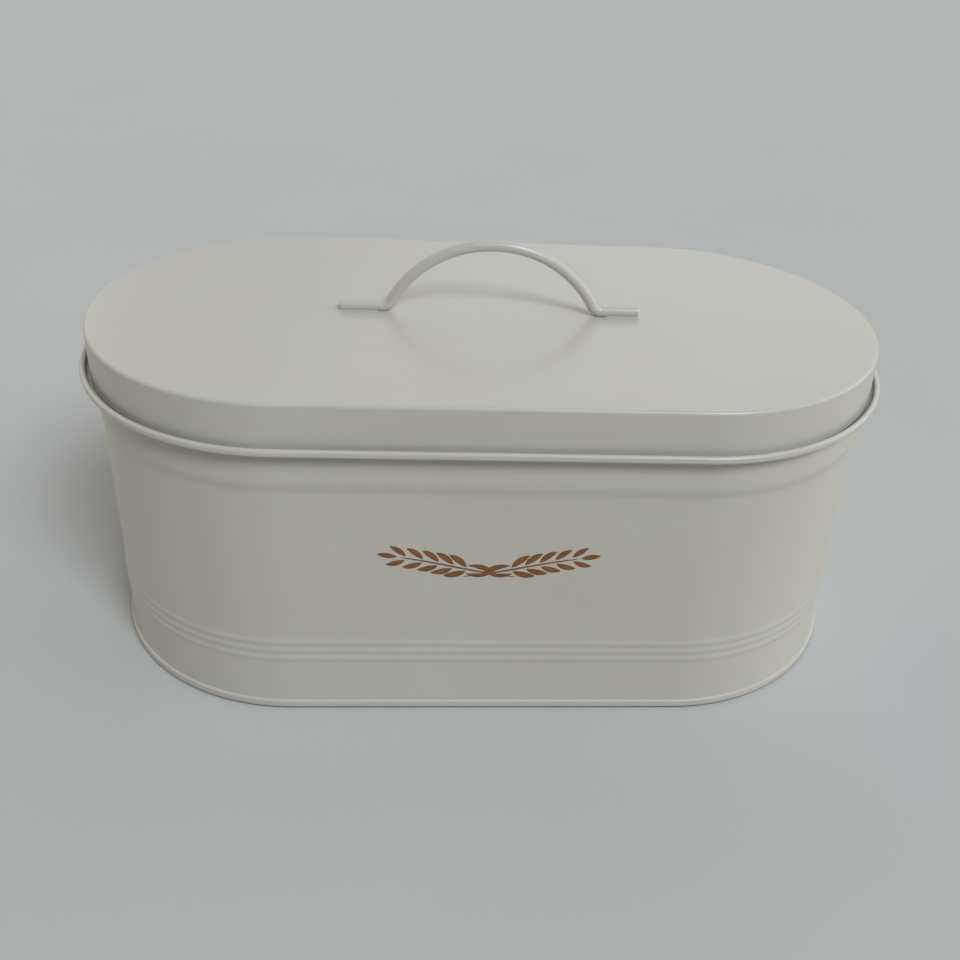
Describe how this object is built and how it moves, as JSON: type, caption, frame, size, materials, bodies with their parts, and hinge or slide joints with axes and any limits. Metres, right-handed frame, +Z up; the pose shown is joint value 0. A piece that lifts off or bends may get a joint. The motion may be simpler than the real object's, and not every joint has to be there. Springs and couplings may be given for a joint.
{
  "type": "bread box",
  "caption": "Oblong sheet-steel bread tin with rounded ends, a rolled rim and a lift-off lid that stands on a ledge inside the rim, lifted by an arched rod handle.",
  "frame": {"origin": "on the ground, under the middle of the base", "axes": "+Z up, +X along the tin, -Y towards the front"},
  "size_m": [0.3482, 0.1816, 0.1842],
  "materials": {
    "coated_steel": "satin powder coat, warm off-white"
  },
  "bodies": {
    "tin": {"body_wall": "coated_steel", "base_panel": "coated_steel"},
    "lid": {"lid_pan": "coated_steel", "handle_rod": "coated_steel"}
  },
  "joints": [
    {"name": "lid_lift", "type": "slide", "parent": "tin", "child": "lid", "axis": [0, 0, 1], "range_m": [0, 0.06]}
  ]
}
